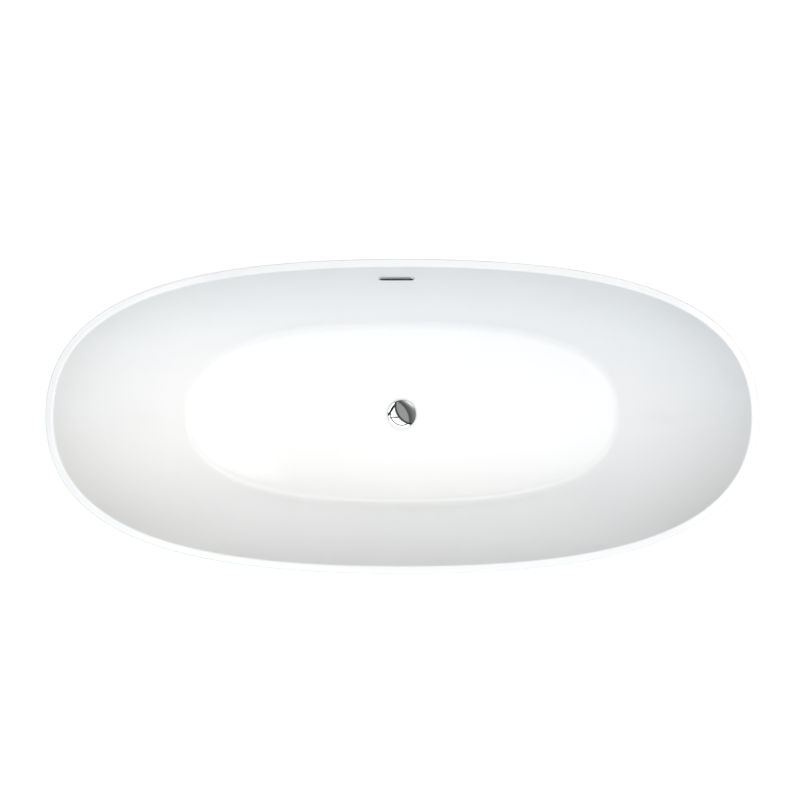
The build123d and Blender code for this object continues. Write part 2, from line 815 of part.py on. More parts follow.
with BuildPart() as plug_cap:
    with BuildSketch(Plane.XZ):
        with BuildLine():
            Polyline(
                (0, cap_top),
                (0, cap_bottom),
                (cap_radius - cap_edge_chamfer, cap_bottom),
                (cap_radius, cap_bottom + cap_edge_chamfer),
                (cap_radius, cap_edge_top),
            )
            ThreePointArc((cap_radius, cap_edge_top), (cap_radius / 2, dome_shoulder), (0, cap_top))
        make_face()
    revolve(axis=Axis.Z)
    fillet(plug_cap.edges().filter_by(lambda edge: edge.is_closed).sort_by(Axis.Z)[-1], cap_edge_radius)
    with BuildSketch(Plane.XY.offset(cap_bottom)):
        Circle(cap_boss_radius)
    extrude(amount=-cap_boss_height)
    with BuildSketch(Plane.XY.offset(boss_bottom)):
        Circle(stem_radius)
    extrude(amount=stem_top - boss_bottom, mode=Mode.SUBTRACT)

plug_cap.part.label = "plug_cap"
export_step(plug_cap.part, "parts/plug_cap.step")

with BuildPart() as plug_seal:
    with BuildSketch(Plane.XY.offset(cap_bottom)):
        Circle(flange_radius - plug_seal_setback)
        Circle(waste_hole_radius, mode=Mode.SUBTRACT)
    extrude(amount=-plug_seal_thickness)

plug_seal.part.label = "plug_seal"
export_step(plug_seal.part, "parts/plug_seal.step")

pin_washer_radius = stem_pin_radius + washer_width

with BuildPart() as plug_stem:
    with BuildSketch(Plane.XZ):
        with BuildLine():
            Polyline(
                (0, pin_end),
                (pin_washer_radius, pin_end),
                (pin_washer_radius, washer_top),
                (stem_pin_radius, washer_top),
                (stem_pin_radius, stem_head_bottom),
                (stem_head_radius, stem_head_bottom),
                (stem_head_radius, stem_head_top),
                (stem_radius, stem_head_top),
                (stem_radius, stem_top),
                (0, stem_top),
                close=True,
            )
        make_face()
    revolve(axis=Axis.Z)

plug_stem.part.label = "plug_stem"
export_step(plug_stem.part, "parts/plug_stem.step")

# Notched rotor that turns a step with each push and latches the plug

with BuildPart() as cam_rotor:
    with BuildSketch(Plane.XY.offset(rotor_bottom)):
        Circle(stem_head_radius)
        Circle(stem_pin_radius + running_gap, mode=Mode.SUBTRACT)
        with PolarLocations(stem_head_radius, notch_count):
            Rectangle(2 * notch_depth, notch_width, mode=Mode.SUBTRACT)
    extrude(amount=rotor_height)

cam_rotor.part.label = "cam_rotor"
export_step(cam_rotor.part, "parts/cam_rotor.step")

# Cartridge body and the spring inside it

collar_top = hub_top + cartridge_wall
stem_hole_radius = stem_radius + 1.5 * running_gap
bore_top = cartridge_top - cartridge_wall

with BuildPart() as click_cartridge:
    with BuildSketch(Plane.XZ):
        with BuildLine():
            Polyline(
                (0, cartridge_bottom),
                (cartridge_radius, cartridge_bottom),
                (cartridge_radius, hub_top),
                (cartridge_collar_radius, hub_top),
                (cartridge_collar_radius, collar_top),
                (cartridge_radius, collar_top),
                (cartridge_radius, cartridge_top),
                (stem_hole_radius, cartridge_top),
                (stem_hole_radius, bore_top),
                (cartridge_bore_radius, bore_top),
                (cartridge_bore_radius, spring_bottom),
                (0, spring_bottom),
                close=True,
            )
        make_face()
    revolve(axis=Axis.Z)

click_cartridge.part.label = "click_cartridge"
export_step(click_cartridge.part, "parts/click_cartridge.step")

spring_height = spring_room - 2 * spring_wire_radius - running_gap
spring_start = (spring_radius, 0, spring_bottom + spring_wire_radius)

with BuildPart() as cartridge_spring:
    with BuildLine() as spring_path:
        Helix(
            spring_height / spring_turns,
            spring_height,
            spring_radius,
            center=(0, 0, spring_bottom + spring_wire_radius),
        )
    with BuildSketch(Plane(origin=spring_start, x_dir=(1, 0, 0), z_dir=spring_path.line % 0)):
        Circle(spring_wire_radius)
    sweep(path=spring_path.line, is_frenet=True)

cartridge_spring.part.label = "cartridge_spring"
export_step(cartridge_spring.part, "parts/cartridge_spring.step")

# Overflow trim in the slot, with a seal in front of the wall and a gasket behind it

lip_base = overflow_seal_thickness
gasket_back = shell_thickness + gasket_thickness
housing_back = gasket_back + housing_depth
sleeve_back = gasket_back + housing_wall

with BuildPart() as overflow_trim:
    with BuildSketch(overflow_plane.offset(lip_base)):
        SlotOverall(lip_length, lip_height)
    extrude(amount=lip_thickness)
    fillet(overflow_trim.faces().sort_by(Axis((0, 0, 0), overflow_plane.z_dir))[-1].edges(), lip_edge_radius)
    with BuildSketch(overflow_plane.offset(lip_base)):
        SlotOverall(sleeve_length, sleeve_height)
    extrude(amount=-lip_base - sleeve_back)
    with BuildSketch(overflow_plane.offset(lip_base + lip_thickness)):
        SlotOverall(slot_length, slot_height)
    extrude(amount=-lip_base - lip_thickness - sleeve_back, mode=Mode.SUBTRACT)

overflow_trim.part.label = "overflow_trim"
export_step(overflow_trim.part, "parts/overflow_trim.step")

with BuildPart() as overflow_seal:
    with BuildSketch(overflow_plane.offset(lip_base)):
        SlotOverall(lip_length - 2 * overflow_seal_setback, lip_height - 2 * overflow_seal_setback)
        SlotOverall(hole_length, hole_height, mode=Mode.SUBTRACT)
    extrude(amount=-lip_base - shell_thickness / 2)
    add(tub_moulding.part, mode=Mode.SUBTRACT)

overflow_seal.part.label = "overflow_seal"
export_step(overflow_seal.part, "parts/overflow_seal.step")

with BuildPart() as overflow_gasket:
    with BuildSketch(overflow_plane.offset(-gasket_back)):
        SlotOverall(hole_length + 2 * gasket_width, hole_height + 2 * gasket_width)
        SlotOverall(hole_length, hole_height, mode=Mode.SUBTRACT)
    extrude(amount=gasket_thickness + shell_thickness / 2)
    add(tub_moulding.part, mode=Mode.SUBTRACT)

overflow_gasket.part.label = "overflow_gasket"
export_step(overflow_gasket.part, "parts/overflow_gasket.step")

# Overflow housing behind the wall, funnelling down to a spout

funnel_depth = gasket_back + housing_depth / 2
funnel_top = housing_drop + housing_height / 2 - housing_wall
housing_cavity = housing_depth - 2 * housing_wall


def across_wall(down):
    """A plane across the overflow parts, a distance down the wall; its local y leads outwards."""
    middle = overflow_plane.from_local_coords((-overflow_x, -down, 0))
    return Plane(origin=middle, x_dir=(-1, 0, 0), z_dir=-overflow_plane.y_dir)


def space_behind(down):
    """Depths, from the slot's plane, of the tub's outer face and of the skirt's inner face."""
    y = overflow_y - down * sin(wall_lean)
    z = overflow_z - down * cos(wall_lean)
    near = (tub_outside(z)[1] - y) * cos(wall_lean)
    far = (skirt_half_sizes(z, skirt_thickness)[1] - y) * cos(wall_lean)
    return near, far


# The nut under the spout needs room, so it sits as far down as the space behind the wall is wide enough

nut_room = 2 * (spout_radius + small_nut_wall + small_nut_clearance)
nut_top = housing_drop + housing_height / 2
lowest = (overflow_z - floor_height) / cos(wall_lean)
for _ in range(50):
    trial = (nut_top + lowest) / 2
    near, far = space_behind(trial)
    if far - near < nut_room:
        nut_top = trial
    else:
        lowest = trial
spout_end = nut_top + overflow_socket_depth
spout_top = spout_end - spout_length
spout_axis_depth = sum(space_behind(spout_end)) / 2


with BuildPart() as housing_moulding:
    with BuildSketch(overflow_plane.offset(-gasket_back)):
        with Locations((0, -housing_drop)):
            RectangleRounded(housing_length, housing_height, housing_corner_radius)
    extrude(amount=-housing_depth)
    with BuildSketch(across_wall(funnel_top)):
        with Locations((0, funnel_depth)):
            Ellipse(funnel_half_length, housing_depth / 2 - funnel_setback)
    with BuildSketch(across_wall(spout_top)):
        with Locations((0, spout_axis_depth)):
            Circle(spout_radius)
    loft()
    with BuildSketch(across_wall(spout_top)):
        with Locations((0, spout_axis_depth)):
            Circle(spout_radius)
    extrude(amount=spout_length)
    with BuildSketch(overflow_plane.offset(-gasket_back - housing_wall)):
        with Locations((0, -housing_drop)):
            RectangleRounded(
                housing_length - 2 * housing_wall,
                housing_height - 2 * housing_wall,
                housing_corner_radius - housing_wall,
            )
    extrude(amount=-housing_cavity, mode=Mode.SUBTRACT)
    with BuildSketch(overflow_plane.offset(-gasket_back)):
        SlotOverall(sleeve_length + 2 * housing_fit, sleeve_height + 2 * housing_fit)
    extrude(amount=-housing_wall, mode=Mode.SUBTRACT)
    with BuildSketch(across_wall(funnel_top - housing_wall)):
        with Locations((0, funnel_depth)):
            Ellipse(funnel_half_length - 2 * housing_wall, housing_cavity / 2 - funnel_setback)
    with BuildSketch(across_wall(spout_top)):
        with Locations((0, spout_axis_depth)):
            Circle(overflow_bore_radius)
    loft(mode=Mode.SUBTRACT)
    with BuildSketch(across_wall(spout_top)):
        with Locations((0, spout_axis_depth)):
            Circle(overflow_bore_radius)
    extrude(amount=spout_length, mode=Mode.SUBTRACT)
    with BuildSketch(across_wall(spout_end)):
        with Locations((0, spout_axis_depth)):
            Circle(overflow_pipe_radius + overflow_pipe_clearance)
    extrude(amount=-overflow_socket_depth, mode=Mode.SUBTRACT)
    split(bisect_by=across_wall(funnel_top), keep=Keep.BOTH)

# The housing is one moulding too, drawn as its front, its sides with the top, its back and its funnel

housing_cuts = [overflow_plane.offset(-gasket_back - depth) for depth in (housing_wall, housing_wall + housing_cavity)]

with BuildPart() as overflow_housing:
    add(cut_at_slot(housing_moulding.solids(), housing_cuts), mode=Mode.REPLACE)

overflow_housing.part.label = "overflow_housing"
export_step(overflow_housing.part, "parts/overflow_housing.step")

# Overflow pipe from the spout down between the walls to the waste body

pipe_start = overflow_plane.from_local_coords((-overflow_x, -nut_top, -spout_axis_depth))
pipe_slope = overflow_plane.y_dir
pipe_corner = pipe_start - pipe_slope * ((pipe_start.Z - inlet_height) / pipe_slope.Z)
pipe_end = Vector(0, inlet_reach - overflow_socket_depth, inlet_height)

with BuildPart() as overflow_pipe:
    with BuildLine() as pipe_path:
        FilletPolyline(pipe_start, pipe_corner, pipe_end, radius=overflow_bend_radius)
    with BuildSketch(Plane(origin=pipe_start, x_dir=(1, 0, 0), z_dir=-pipe_slope)):
        Circle(overflow_pipe_radius)
        Circle(overflow_bore_radius, mode=Mode.SUBTRACT)
    sweep(path=pipe_path.line)

overflow_pipe.part.label = "overflow_pipe"
export_step(overflow_pipe.part, "parts/overflow_pipe.step")

# Nuts at both ends of the overflow pipe

with BuildPart() as overflow_top_nut:
    with BuildSketch(across_wall(nut_top)):
        with Locations((0, spout_axis_depth)):
            Circle(spout_radius + small_nut_wall)
            Circle(overflow_pipe_radius + overflow_pipe_clearance, mode=Mode.SUBTRACT)
    extrude(amount=overflow_socket_depth + small_nut_lip)
    with BuildSketch(across_wall(spout_end)):
        with Locations((0, spout_axis_depth)):
            Circle(spout_radius)
    extrude(amount=-overflow_socket_depth, mode=Mode.SUBTRACT)

overflow_top_nut.part.label = "overflow_top_nut"
export_step(overflow_top_nut.part, "parts/overflow_top_nut.step")

with BuildPart() as overflow_bottom_nut:
    with BuildSketch(inlet_plane.offset(inlet_reach - overflow_socket_depth)):
        RegularPolygon(inlet_radius + 2 * small_nut_wall, 6, major_radius=False)
        Circle(overflow_pipe_radius + overflow_pipe_clearance, mode=Mode.SUBTRACT)
    extrude(amount=overflow_socket_depth + small_nut_lip)
    with BuildSketch(inlet_plane.offset(inlet_reach)):
        Circle(inlet_radius)
    extrude(amount=-overflow_socket_depth, mode=Mode.SUBTRACT)

overflow_bottom_nut.part.label = "overflow_bottom_nut"
export_step(overflow_bottom_nut.part, "parts/overflow_bottom_nut.step")
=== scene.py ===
import json
import math

import bmesh
import bpy
import numpy as np
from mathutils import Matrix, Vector


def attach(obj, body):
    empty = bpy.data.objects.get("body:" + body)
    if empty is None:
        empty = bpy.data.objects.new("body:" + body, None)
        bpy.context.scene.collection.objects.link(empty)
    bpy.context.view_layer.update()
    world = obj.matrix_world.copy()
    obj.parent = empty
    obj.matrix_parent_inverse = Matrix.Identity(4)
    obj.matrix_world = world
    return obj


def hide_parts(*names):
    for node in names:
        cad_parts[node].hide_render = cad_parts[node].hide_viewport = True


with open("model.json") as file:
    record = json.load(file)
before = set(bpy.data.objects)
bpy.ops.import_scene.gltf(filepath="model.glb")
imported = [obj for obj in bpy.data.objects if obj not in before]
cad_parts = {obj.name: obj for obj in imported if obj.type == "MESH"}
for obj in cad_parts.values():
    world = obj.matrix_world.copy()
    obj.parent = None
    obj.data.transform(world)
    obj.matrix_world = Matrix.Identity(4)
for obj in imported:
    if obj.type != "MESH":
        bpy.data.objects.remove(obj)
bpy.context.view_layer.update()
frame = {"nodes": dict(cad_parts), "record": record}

# Sizes of the tub, in metres, as in the CAD model
HALF_LENGTH = 0.850
HALF_WIDTH = 0.375
HEIGHT = 0.580
END_FULLNESS = 0.80
SIDE_FULLNESS = 0.58
RIM_WIDTH = 0.019
SHELL = 0.006
FLOOR_Z = 0.150
END_RUN = 0.237
SIDE_RUN = 0.107
END_BULGE = 0.026
SIDE_BULGE = 0.010
FLOOR_RADIUS = 0.032
RIM_IN_RADIUS = 0.004
RIM_OUT_RADIUS = 0.0034
RIM_LOW_BEVEL = 0.0008
WASTE_HOLE = 0.027
RECESS = 0.0395
RECESS_DEPTH = 0.0025
DEPTH = HEIGHT - FLOOR_Z
FLOOR_A = HALF_LENGTH - RIM_WIDTH - END_RUN
FLOOR_B = HALF_WIDTH - RIM_WIDTH - SIDE_RUN

# Skirt
SKIRT = 0.005
SKIRT_FLANGE = 0.006
SKIRT_FLANGE_WIDTH = 0.012
SKIRT_END_RUN = 0.170
SKIRT_SIDE_RUN = 0.075
SKIRT_END_BULGE = 0.030
SKIRT_SIDE_BULGE = 0.014
SKIRT_FOOT_RADIUS = 0.0018
SKIRT_TOP_BEVEL = 0.0008
SKIRT_BOTTOM = 0.004
BOND = 0.001
SKIRT_TOP = HEIGHT - SHELL - BOND
SKIRT_TALL = SKIRT_TOP - SKIRT_BOTTOM

# Plug cap, with a hollow boss under it
CAP_RADIUS = 0.0396
CAP_ROUND = 0.0008
CAP_BOTTOM = 0.1535
CAP_EDGE = 0.003
CAP_RISE = 0.0035
CAP_BEVEL = 0.001
CAP_BEVEL_MIDDLE = 0.0003
BOSS_RADIUS = 0.007
BOSS_LENGTH = 0.007
BORE_RADIUS = 0.004
BORE_END = 0.001

# Overflow slot with its lip, whose edges are rounded by steps in from its sides and down from its top, and
# the patch of wall round it
SLOT_X = -0.014
SLOT_BELOW_RIM = 0.097
SLOT_Z = HEIGHT - SLOT_BELOW_RIM
SLOT_STRAIGHT = 0.0325
SLOT_RADIUS = 0.0095
SLEEVE_RADIUS = 0.0107
HOLE_RADIUS = 0.0112
LIP_RADIUS = 0.0130
LIP_BASE = -0.0003
LIP_TOP = 0.0027
SLEEVE_BACK = -0.0100
LIP_INNER_EDGE = ((0.0, 0.0006), (0.0001, 0.0003), (0.0002, 0.0001), (0.0005, 0.0))
LIP_OUTER_EDGE = ((0.0005, 0.0), (0.0002, 0.0001), (0.0001, 0.0003), (0.0, 0.0005))
PATCH_LENGTH = 0.0980
PATCH_HEIGHT = 0.0320

# How finely the shapes are divided. Other columns and rows keep a spare distance from those of the patch
QUARTER_COLUMNS = 90
FLOOR_ROWS = 12
FLOOR_ARC_ROWS = 13
WALL_ROWS = 49
PATCH_COLUMNS = 29
PATCH_ROWS = 11
COLUMN_SPARE = 0.004
ROW_SPARE = 0.006
RIM_IN_ROWS = 9
RIM_ROWS = 2
RIM_OUT_ROWS = 8
UNDER_ARC_ROWS = 9
UNDER_ROWS = 6
SKIRT_OUTSIDE_ROWS = 48
SKIRT_FOOT_ROWS = 6
SKIRT_INSIDE_ROWS = 30
DOME_ROWS = 41
CAP_ROUND_ROWS = 8
CAP_SEGMENTS = 160
SLOT_END_POINTS = 20
SHARP_ANGLE = math.radians(32.0)
HALVINGS = 60
FINE = np.linspace(0, 1, 4001)


# Shapes


def bowed(start, run, bulge, share):
    """A half size that grows by run from share 0 to share 1, and how fast it grows."""
    size = start + run * share + 4 * bulge * share * (1 - share)
    growth = run + 4 * bulge * (1 - 2 * share)
    return size, growth


def quarter(s):
    """Unit quarter of the outline and its direction, from the end (1, 0) to the side (0, 1)."""
    r = 1 - s
    f = r**3 + 3 * r**2 * s + 3 * r * s**2 * SIDE_FULLNESS
    g = 3 * r**2 * s * END_FULLNESS + 3 * r * s**2 + s**3
    df = 6 * r * s * (SIDE_FULLNESS - 1) - 3 * s**2 * SIDE_FULLNESS
    dg = 3 * r**2 * END_FULLNESS + 6 * r * s * (1 - END_FULLNESS)
    return f, g, df, dg


def outline_columns(back_xs=()):
    """Unit points and directions round the outline, with added ones at given unit x on the back."""
    f, g, _, _ = quarter(FINE)
    steps = np.hypot(np.diff(f * HALF_LENGTH), np.diff(g * HALF_WIDTH))
    run = np.concatenate([[0], np.cumsum(steps)])
    even = np.interp(np.linspace(0, run[-1], QUARTER_COLUMNS + 1), run, FINE)
    places = []
    for k in range(4):
        own = even if k % 2 == 0 else np.sort(1 - even)
        places += [k + s for s in own[:-1]]
    added = []
    for x in back_xs:
        s = float(np.interp(-abs(x), -f, FINE))
        added.append(s if x > 0 else 2 - s)
    if added:
        first, last = min(added) - COLUMN_SPARE, max(added) + COLUMN_SPARE
        places = [p for p in places if not first < p < last] + added
    found = []
    for p in sorted(places):
        k = int(p)
        s = p - k if k % 2 == 0 else 1 - (p - k)
        f1, g1, df, dg = quarter(s)
        x_sign = 1 if k in (0, 3) else -1
        y_sign = 1 if k in (0, 1) else -1
        turn = 1 if k % 2 == 0 else -1
        found.append((x_sign * f1, y_sign * g1, turn * x_sign * df, turn * y_sign * dg))
    return np.array(found)


def wall(columns, t):
    """Points of the tub's inside at share t of the depth for each column, and the inward normals."""
    t = np.broadcast_to(t, len(columns))
    a, da = bowed(FLOOR_A, END_RUN, END_BULGE, t)
    b, db = bowed(FLOOR_B, SIDE_RUN, SIDE_BULGE, t)
    f, g, df, dg = columns.T
    point = np.stack([a * f, b * g, FLOOR_Z + DEPTH * t], 1)
    sideways = np.stack([a * df, b * dg, np.zeros_like(t)], 1)
    upward = np.stack([da * f, db * g, np.full_like(t, DEPTH)], 1)
    normal = np.cross(upward, sideways)
    return point, normal / np.linalg.norm(normal, axis=1)[:, None]


def back_wall(xs, zs):
    """Points of the back wall's inside at given x and z, and the inward normals."""
    t = (zs - FLOOR_Z) / DEPTH
    a = bowed(FLOOR_A, END_RUN, END_BULGE, t)[0]
    s = np.interp(-np.abs(xs) / a, -quarter(FINE)[0], FINE)
    f, g, df, dg = quarter(s)
    side = np.where(xs < 0, -1.0, 1.0)
    return wall(np.stack([side * f, g, df, side * dg], 1), t)


def share_at(columns, offset, level, low, high):
    """Share of the depth, for each column, at which a point at an offset from the wall is at a level."""
    lo, hi = np.full(len(columns), low), np.full(len(columns), high)
    for _ in range(HALVINGS):
        mid = (lo + hi) / 2
        point, normal = wall(columns, mid)
        above = point[:, 2] + offset * normal[:, 2] > level
        hi = np.where(above, mid, hi)
        lo = np.where(above, lo, mid)
    return (lo + hi) / 2


def arc(centre, radius, start, end, steps):
    """Rows of points on an arc about each centre, from direction start to direction end."""
    angle = np.arccos(np.clip((start * end).sum(1), -1, 1))[:, None]
    arc_rows = []
    for w in np.linspace(0, 1, steps):
        d = (np.sin((1 - w) * angle) * start + np.sin(w * angle) * end) / np.sin(angle)
        arc_rows.append(centre + radius * d)
    return arc_rows


def oval_row(columns, a, b, z):
    return np.stack([a * columns[:, 0], b * columns[:, 1], np.full(len(columns), z)], 1)


def circle_row(columns, radius, z):
    angle = np.arctan2(columns[:, 1] * FLOOR_B, columns[:, 0] * FLOOR_A)
    return np.stack([radius * np.cos(angle), radius * np.sin(angle), np.full(len(columns), z)], 1)


def outline_normals(columns, a, b):
    n = np.stack([b * columns[:, 3], -a * columns[:, 2], np.zeros(len(columns))], 1)
    return n / np.linalg.norm(n, axis=1)[:, None]


def blend_rows(first, last, count):
    """Rows between two rows, both left out."""
    return [first + (last - first) * w for w in np.linspace(0, 1, count + 2)[1:-1]]


def loop_faces(count, width, keep=lambda i, j: True):
    """Quads between closed rows of points, from each row to the next and from the last to the first."""
    quads = []
    for i in range(count):
        below = (i + 1) % count
        for j in range(width):
            beside = (j + 1) % width
            if keep(i, j):
                quads.append((i * width + j, i * width + beside, below * width + beside, below * width + j))
    return quads


def make_object(name, vertices, faces, surface):
    mesh = bpy.data.meshes.new(name)
    mesh.from_pydata([tuple(v) for v in vertices], [], faces)
    mesh.validate()
    shape = bmesh.new()
    shape.from_mesh(mesh)
    bmesh.ops.recalc_face_normals(shape, faces=shape.faces)
    shape.to_mesh(mesh)
    shape.free()
    mesh.update()
    mesh.polygons.foreach_set("use_smooth", [True] * len(mesh.polygons))
    mesh.set_sharp_from_angle(angle=SHARP_ANGLE)
    obj = bpy.data.objects.new(name, mesh)
    bpy.context.scene.collection.objects.link(obj)
    obj.data.materials.append(surface)
    return obj


def rows_object(name, rows, surface):
    rows = np.array(rows)
    return make_object(name, rows.reshape(-1, 3), loop_faces(*rows.shape[:2]), surface)


def lathe(name, profile, surface):
    """A profile of (radius, z), from the Z axis back to it, turned about that axis."""
    angles = np.linspace(0, 2 * math.pi, CAP_SEGMENTS, endpoint=False)
    points = [(0, 0, profile[0][1])]
    for r, z in profile[1:-1]:
        points += [(r * math.cos(q), r * math.sin(q), z) for q in angles]
    points.append((0, 0, profile[-1][1]))
    last_ring = len(points) - 1 - CAP_SEGMENTS
    faces = []
    for j in range(CAP_SEGMENTS):
        k = (j + 1) % CAP_SEGMENTS
        faces.append((0, 1 + j, 1 + k))
        for top in range(1, last_ring, CAP_SEGMENTS):
            low = top + CAP_SEGMENTS
            faces.append((top + j, low + j, low + k, top + k))
        faces.append((last_ring + j, len(points) - 1, last_ring + k))
    return make_object(name, points, faces, surface)


# Materials

NOISE_LOW, NOISE_HIGH = 0.3, 0.7


def add_node(tree, kind, inputs=None, **settings):
    """A new node. Each input is a value or the output of another node."""
    node = tree.nodes.new("ShaderNode" + kind)
    for setting, value in settings.items():
        setattr(node, setting, value)
    for key, value in (inputs or {}).items():
        if isinstance(value, bpy.types.NodeSocket):
            tree.links.new(value, node.inputs[key])
        else:
            node.inputs[key].default_value = value
    return node


def math_node(tree, operation, *values):
    return add_node(tree, "Math", dict(enumerate(values)), operation=operation).outputs[0]


def color_ramp(tree, factor, stops):
    """Colours between stops, along a factor from 0 to 1."""
    ramp = add_node(tree, "ValToRGB", {"Fac": factor})
    elements = ramp.color_ramp.elements
    while len(elements) < len(stops):
        elements.new(0.5)
    for element, (place, color) in zip(elements, stops):
        element.position = place
        element.color = color
    return ramp.outputs["Color"]


def material(name, color, roughness, metallic=0.0, tint=0.02, tint_scale=6.0, smear=0.04, smear_scale=14.0,
             bump=0.0, bump_scale=300.0, bump_depth=0.0003, stretch=(1, 1, 1), ior=1.5):
    """A surface whose colour, gloss and relief vary a little, as real ones do."""
    made = bpy.data.materials.new(name)
    made.use_nodes = True
    tree = made.node_tree
    shader = tree.nodes["Principled BSDF"]
    shader.inputs["Metallic"].default_value = metallic
    shader.inputs["IOR"].default_value = ior
    spot = add_node(tree, "TexCoord").outputs["Object"]
    spot = add_node(tree, "Mapping", {"Vector": spot, "Scale": stretch}).outputs["Vector"]

    def noise(scale, detail):
        return add_node(tree, "TexNoise", {"Vector": spot, "Scale": scale, "Detail": detail}).outputs["Fac"]

    dark = [max(0.0, c * (1 - tint)) for c in color] + [1]
    light = [min(1.0, c * (1 + tint)) for c in color] + [1]
    tinted = color_ramp(tree, noise(tint_scale, 3.0), [(NOISE_LOW, dark), (NOISE_HIGH, light)])
    tree.links.new(tinted, shader.inputs["Base Color"])
    spread = add_node(tree, "MapRange", {
        "Value": noise(smear_scale, 5.0), "From Min": NOISE_LOW, "From Max": NOISE_HIGH,
        "To Min": max(0.0, roughness - smear), "To Max": roughness + smear,
    })
    tree.links.new(spread.outputs["Result"], shader.inputs["Roughness"])
    if bump:
        height = noise(bump_scale, 4.0)
        relief = add_node(tree, "Bump", {"Strength": bump, "Distance": bump_depth, "Height": height})
        tree.links.new(relief.outputs["Normal"], shader.inputs["Normal"])
    return made


ACRYLIC = material("white_acrylic", (0.86, 0.86, 0.86), 0.02, tint=0.006, tint_scale=3.0, smear=0.01,
                   smear_scale=7.0, bump=0.01, bump_scale=12.0, bump_depth=0.0004, ior=1.49)
ADHESIVE = material("white_adhesive", (0.72, 0.72, 0.70), 0.5, tint=0.03, bump=0.2, bump_scale=400.0)
CHROME = material("chrome", (0.60, 0.605, 0.61), 0.03, metallic=1.0, tint=0.01, smear=0.015,
                  smear_scale=40.0)
# A darker copy of the chrome: painted shade for the inside of the overflow sleeve
PAINTED_SHADE_CHROME = material("chrome_painted_shade", (0.30, 0.30, 0.31), 0.08, metallic=1.0, tint=0.02, smear=0.03,
                       smear_scale=40.0)
BRASS = material("brass", (0.66, 0.47, 0.20), 0.25, metallic=1.0, tint=0.06, smear=0.08)
BOARD = material("chipboard", (0.50, 0.36, 0.21), 0.75, tint=0.22, tint_scale=160.0, bump=0.5,
                 bump_scale=220.0)
TIMBER = material("timber", (0.58, 0.42, 0.25), 0.6, tint=0.16, tint_scale=20.0, bump=0.3, bump_scale=60.0,
                  stretch=(0.3, 3.0, 12.0))
PAINT = material("frame_paint", (0.36, 0.38, 0.40), 0.42, tint=0.05, tint_scale=25.0, bump=0.15,
                 bump_scale=500.0)
ZINC = material("zinc_steel", (0.62, 0.63, 0.64), 0.32, metallic=1.0, tint=0.12, tint_scale=90.0, smear=0.1)
WIRE = material("spring_steel", (0.5, 0.5, 0.52), 0.3, metallic=1.0, tint=0.05, smear=0.05)
RUBBER = material("black_rubber", (0.022, 0.022, 0.023), 0.7, tint=0.15, tint_scale=120.0, bump=0.2)
PIPE = material("white_pipe", (0.76, 0.76, 0.74), 0.38, tint=0.02, tint_scale=30.0, bump=0.1,
                bump_scale=250.0)
GREY_PIPE = material("grey_pipe", (0.34, 0.35, 0.36), 0.45, tint=0.04, tint_scale=40.0, bump=0.12)
ACETAL = material("acetal", (0.80, 0.80, 0.77), 0.4, tint=0.02, tint_scale=60.0, bump=0.1)
BLACK_PLASTIC = material("black_plastic", (0.035, 0.035, 0.038), 0.45, tint=0.1, tint_scale=80.0, bump=0.15)
FOOT = material("foot_plastic", (0.03, 0.03, 0.033), 0.5, tint=0.15, tint_scale=120.0, bump=0.3,
                bump_scale=600.0)

BY_SLOT = {
    "white_acrylic": ACRYLIC, "white_adhesive": ADHESIVE, "chrome": CHROME, "brass": BRASS,
    "chipboard": BOARD, "timber": TIMBER, "frame_paint": PAINT, "zinc_steel": ZINC, "spring_steel": WIRE,
    "black_rubber": RUBBER, "white_pipe": PIPE, "grey_pipe": GREY_PIPE, "acetal": ACETAL,
    "foot_plastic": FOOT, "black_plastic": BLACK_PLASTIC,
}
for subpart in frame["record"]["subparts"]:
    node_mesh = frame["nodes"][subpart["node"]].data
    node_mesh.materials.clear()
    node_mesh.materials.append(BY_SLOT[subpart["material_slot"]])


# Inner tub: one closed shell, from the waste recess up the inside, over the rim and down the back

slot_share = (SLOT_Z - FLOOR_Z) / DEPTH
slot_a = bowed(FLOOR_A, END_RUN, END_BULGE, slot_share)[0]
slot_y, slot_growth = bowed(FLOOR_B, SIDE_RUN, SIDE_BULGE, slot_share)
wall_lean = math.atan(slot_growth / DEPTH)
lean_sin, lean_cos = math.sin(wall_lean), math.cos(wall_lean)
patch_left = SLOT_X - PATCH_LENGTH / 2
patch_right = SLOT_X + PATCH_LENGTH / 2
tub_columns = outline_columns(np.linspace(patch_left, patch_right, PATCH_COLUMNS) / slot_a)
tub_width = len(tub_columns)
on_front = tub_columns[:, 1] <= 0


def back_column(x):
    """Number of the column nearest to x on the back wall."""
    return int(np.argmin(np.abs(tub_columns[:, 0] - x / slot_a) + on_front))


UP = np.broadcast_to(np.array([0.0, 0.0, 1.0]), (tub_width, 3))
floor_t = share_at(tub_columns, FLOOR_RADIUS, FLOOR_Z + FLOOR_RADIUS, 0.0, 0.4)
rim_t = share_at(tub_columns, -RIM_IN_RADIUS, HEIGHT - RIM_IN_RADIUS, 0.9, 1.0)
back_t = share_at(tub_columns, -SHELL, HEIGHT - SHELL, 0.9, 1.02)
foot_point, foot_normal = wall(tub_columns, floor_t)
floor_centre = foot_point + FLOOR_RADIUS * foot_normal
rim_point, rim_normal = wall(tub_columns, rim_t)
rim_centre = rim_point - RIM_IN_RADIUS * rim_normal

middle = back_column(SLOT_X)
half_rise = PATCH_HEIGHT / 2 * lean_cos / DEPTH
span = rim_t[middle] - floor_t[middle]
patch_low = (slot_share - half_rise - floor_t[middle]) / span
patch_high = (slot_share + half_rise - floor_t[middle]) / span
patch_shares = list(np.linspace(patch_low, patch_high, PATCH_ROWS))
wall_shares = np.linspace(0, 1, WALL_ROWS)
shares = [q for q in wall_shares if not patch_low - ROW_SPARE < q < patch_high + ROW_SPARE]
shares = sorted(shares + patch_shares)

